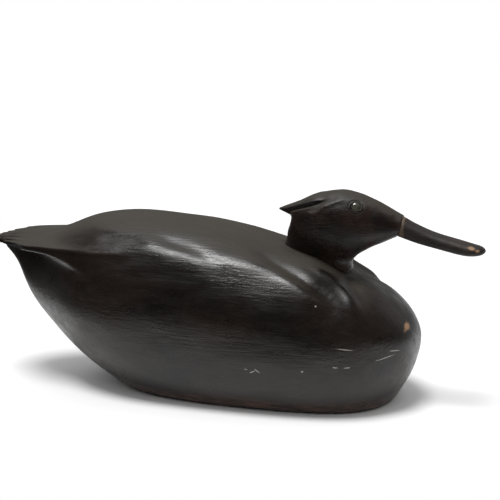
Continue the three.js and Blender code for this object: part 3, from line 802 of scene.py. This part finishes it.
def body_material():
    material, tree, shader, place = new_material("worn_body_paint")
    streaks = noise(tree, place, 2.2, 4.0, (14, 1.4, 1), 0.6)
    patches = noise(tree, place, 45, 4.0, (1.6, 1, 1), 0.55)
    speckle = noise(tree, place, 1.6, 3.0, (2.2, 1, 1), 0.6)
    ragged = jittered(tree, place, 1.2, 1.0)
    height = add(tree, "ShaderNodeSeparateXYZ", {0: place}).outputs["Z"]
    hollow = add(tree, "ShaderNodeAttribute", attribute_name="hollow").outputs["Fac"]

    colour = mix(tree, ramp(tree, patches, 0.35, 0.7), DARK_PAINT, BROWN_PAINT)
    colour = mix(tree, ramp(tree, streaks, 0.5, 0.8, 0, 0.5), colour, BROWN_PAINT)
    by_neck = marks(tree, place, [((64, 0, 125), (48, 46, 40), 0)], 0.2)
    dusty = math_node(tree, "MAXIMUM", ramp(tree, upward(tree), 0.8, 0.97), by_neck)
    dusty = math_node(tree, "MULTIPLY", dusty, ramp(tree, hollow, -1.9, -0.9))
    dusty = math_node(tree, "MULTIPLY", dusty, ramp(tree, patches, 0.2, 0.8, 0.7, 1))
    dusty = math_node(tree, "MULTIPLY", dusty, ramp(tree, height, 70, 105))
    colour = mix(tree, dusty, colour, OLIVE_DUST)
    low_edge = ramp(tree, height, 16, 3)
    rubbed = math_node(tree, "MULTIPLY", low_edge, ramp(tree, streaks, 0.38, 0.7))
    colour = mix(tree, rubbed, colour, RED_WOOD)
    bare = marks(tree, ragged, BODY_BARE + TAIL_TIP_BARE, 0.5)
    colour = mix(tree, bare, colour, BARE_WOOD)
    scratched = marks(tree, ragged, BODY_SCRATCHES)
    colour = mix(tree, scratched, colour, PALE_SCRATCH)
    tree.links.new(colour, shader.inputs["Base Color"])

    gloss = ramp(tree, noise(tree, place, 9, 4.0, (3, 1, 1), 0.6), 0.3, 0.75, 0.26, 0.44)
    rough = math_node(tree, "ADD", gloss, math_node(tree, "MULTIPLY", bare, 0.3))
    rough = math_node(tree, "ADD", rough, math_node(tree, "MULTIPLY", dusty, 0.32))
    tree.links.new(rough, shader.inputs["Roughness"])
    surface = bump(tree, patches, 0.5)
    surface = bump(tree, streaks, 0.28, 1.0, surface)
    surface = bump(tree, speckle, 0.12, 1.0, surface)
    tree.links.new(surface, shader.inputs["Normal"])
    return material


def head_material():
    material, tree, shader, place = new_material("worn_head_paint")
    streaks = noise(tree, place, 1.3, 4.0, (9, 2, 1), 0.6)
    patches = noise(tree, place, 22, 4.0, (1, 1, 1), 0.55)
    speckle = noise(tree, place, 0.9, 3.0)
    colour = mix(tree, ramp(tree, patches, 0.35, 0.7), DARK_PAINT, HEAD_BROWN)
    colour = mix(tree, ramp(tree, streaks, 0.5, 0.8, 0, 0.7), colour, HEAD_RUBBED)
    dusty = ramp(tree, upward(tree), 0.5, 0.95)
    dusty = math_node(tree, "MULTIPLY", dusty, ramp(tree, patches, 0.2, 0.8, 0.5, 1))
    colour = mix(tree, dusty, colour, OLIVE_DUST)
    tree.links.new(colour, shader.inputs["Base Color"])
    gloss = ramp(tree, noise(tree, place, 6, 4.0), 0.3, 0.75, 0.34, 0.52)
    rough = math_node(tree, "ADD", gloss, math_node(tree, "MULTIPLY", dusty, 0.25))
    tree.links.new(rough, shader.inputs["Roughness"])
    surface = bump(tree, streaks, 0.35)
    surface = bump(tree, speckle, 0.08, 1.0, surface)
    tree.links.new(surface, shader.inputs["Normal"])
    return material


def bill_material():
    material, tree, shader, place = new_material("worn_bill_paint")
    streaks = noise(tree, place, 1.2, 4.0, (12, 2, 1), 0.6)
    patches = noise(tree, place, 12, 4.0, (2, 1, 1), 0.55)
    along = add(tree, "ShaderNodeSeparateXYZ", {0: place}).outputs["X"]
    ragged = jittered(tree, place, 1.0, 0.8)
    colour = mix(tree, ramp(tree, patches, 0.35, 0.7), BILL_PAINT, BILL_BROWN)
    colour = mix(tree, ramp(tree, streaks, 0.5, 0.8, 0, 0.6), colour, BILL_RUBBED)
    colour = mix(tree, ramp(tree, along, 155.4, 154.4), colour, (0.11, 0.075, 0.05))
    spots = [((213, -10, 142), (3, 4, 1.4), 15), ((218, -8, 139.5), (1.6, 3, 1.2), 0)]
    colour = mix(tree, marks(tree, ragged, spots, 0.5), colour, BARE_WOOD)
    tree.links.new(colour, shader.inputs["Base Color"])
    gloss = ramp(tree, noise(tree, place, 5, 4.0), 0.3, 0.75, 0.5, 0.7)
    tree.links.new(gloss, shader.inputs["Roughness"])
    surface = bump(tree, streaks, 0.3)
    tree.links.new(surface, shader.inputs["Normal"])
    return material


def eye_material():
    material, tree, shader, place = new_material("smoky_eye")
    cloud = noise(tree, place, 2.5, 3.0)
    colour = mix(tree, ramp(tree, cloud, 0.35, 0.7), (0.035, 0.033, 0.025), (0.085, 0.08, 0.06))
    tree.links.new(colour, shader.inputs["Base Color"])
    shader.inputs["Roughness"].default_value = 0.08
    shader.inputs["Coat Weight"].default_value = 0.6
    return material


def floor_material():
    material, tree, shader, place = new_material("pale_floor")
    tone = ramp(tree, noise(tree, place, 180, 2.0), 0.3, 0.7)
    tree.links.new(mix(tree, tone, (0.86, 0.86, 0.86), (0.88, 0.88, 0.88)), shader.inputs["Base Color"])
    shader.inputs["Roughness"].default_value = 0.7
    return material


# Stage

def make_floor():
    """A pale table top, square to the camera. Its near edge shows as a line in the gloss."""
    mesh = bpy.data.meshes.new("floor")
    left, right, near, far = FLOOR_REACH
    corners = [(left, near, 0), (right, near, 0), (right, far, 0), (left, far, 0)]
    mesh.from_pydata(corners, [], [(0, 1, 2, 3)])
    floor = bpy.data.objects.new("floor", mesh)
    floor.rotation_euler = (0, 0, CAMERA_YAW)
    bpy.context.collection.objects.link(floor)
    mesh.materials.append(floor_material())


def sun_light(name, toward, width, strength):
    """A soft light as wide as that many degrees, the same over the whole floor."""
    data = bpy.data.lights.new(name, "SUN")
    data.angle = math.radians(width)
    data.energy = strength
    light = bpy.data.objects.new(name, data)
    light.rotation_euler = Vector(toward).to_track_quat("Z", "Y").to_euler()
    bpy.context.collection.objects.link(light)
    return light


def make_world():
    """White behind the object, and a dimmer room for what the paint reflects."""
    world = bpy.data.worlds.new("studio")
    world.use_nodes = True
    bpy.context.scene.world = world
    tree = world.node_tree
    tree.nodes.clear()
    direction = add(tree, "ShaderNodeTexCoord").outputs["Generated"]
    parts = add(tree, "ShaderNodeSeparateXYZ", {0: direction})
    behind = ramp(tree, parts.outputs["Y"], -0.2, 0.9, 0.03, 0.30)
    room = add(tree, "ShaderNodeBackground", {"Color": (1, 1, 1, 1), "Strength": behind}).outputs[0]
    white = add(tree, "ShaderNodeBackground", {"Color": (1, 1, 1, 1), "Strength": 1.0}).outputs[0]
    seen = add(tree, "ShaderNodeLightPath").outputs["Is Camera Ray"]
    both = add(tree, "ShaderNodeMixShader", {0: seen, 1: room, 2: white}).outputs[0]
    add(tree, "ShaderNodeOutputWorld", {"Surface": both})


def make_camera():
    back = Vector((math.sin(CAMERA_YAW) * math.cos(CAMERA_RISE),
                   -math.cos(CAMERA_YAW) * math.cos(CAMERA_RISE), math.sin(CAMERA_RISE)))
    right = Vector((math.cos(CAMERA_YAW), math.sin(CAMERA_YAW), 0))
    up = back.cross(right)
    data = bpy.data.cameras.new("camera")
    data.lens = CAMERA_LENS
    data.shift_x, data.shift_y = CAMERA_SHIFT
    camera = bpy.data.objects.new("camera", data)
    turn = Matrix((right, up, back)).transposed().to_4x4()
    camera.matrix_world = Matrix.Translation(CAMERA_AIM + back * CAMERA_DISTANCE) @ turn
    bpy.context.collection.objects.link(camera)
    bpy.context.scene.camera = camera


def dress(piece, material, node):
    piece.data.materials.append(material)
    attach(piece, "root")
    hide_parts(node)


def main():
    dress(make_body(), body_material(), "body")
    dress(make_head(), head_material(), "head")
    dress(make_bill(), bill_material(), "bill")
    glass = eye_material()
    dress(make_eye("glass_eye_right", -1), glass, "eye_right")
    dress(make_eye("glass_eye_left", 1), glass, "eye_left")
    make_floor()
    make_world()
    sun_light("overhead", (-0.14, -0.12, 1), 22, 2.5)
    fill = sun_light("floor_fill", (0, 0, 1), 130, 1.7)
    fill.visible_glossy = False
    make_camera()
    bpy.context.scene.view_settings.view_transform = "Standard"


main()
